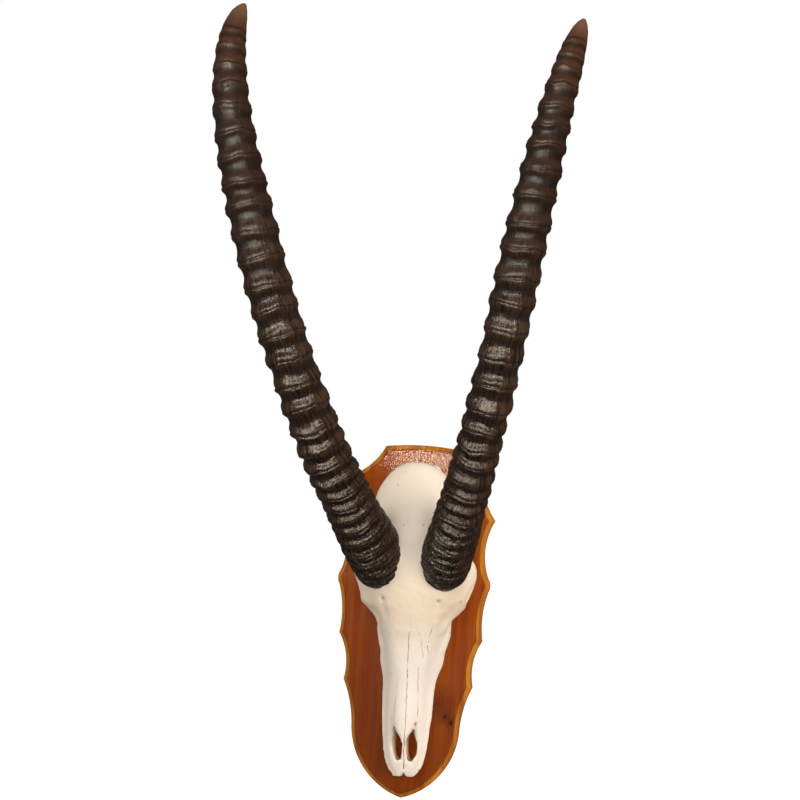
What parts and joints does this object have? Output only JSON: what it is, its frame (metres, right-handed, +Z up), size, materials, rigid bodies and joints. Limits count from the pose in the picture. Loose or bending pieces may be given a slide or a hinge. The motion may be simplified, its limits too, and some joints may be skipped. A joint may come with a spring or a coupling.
{
  "type": "sable antelope skull mount",
  "caption": "Bleached sable antelope skull with two long ringed black horns, nose down on a varnished shield-shaped wooden board that hangs flat on a wall",
  "frame": {"origin": "middle of the board's flat back, on the wall", "axes": "+Z up, +Y out of the board's back into the wall, so the skull faces -Y, and +X to the right of someone who faces the trophy"},
  "size_m": [0.4703, 0.3735, 1.0408],
  "materials": {
    "varnished_wood": "satin varnish over red-brown hardwood, lighter on the routed edge",
    "bleached_bone": "matte, dry, cleaned and whitened bone",
    "horn_keratin": "satin, near-black brown horn with rings and fine lengthwise fibres, tan at the tips",
    "plated_steel": "thin zinc plating"
  },
  "bodies": {
    "root": {"shield_plaque": "varnished_wood", "skull": "bleached_bone", "horn_left": "horn_keratin", "horn_right": "horn_keratin", "hanger": "plated_steel", "hanger_screw_left": "plated_steel", "hanger_screw_right": "plated_steel", "skull_screw_lower": "plated_steel", "skull_screw_upper": "plated_steel"}
  },
  "joints": []
}
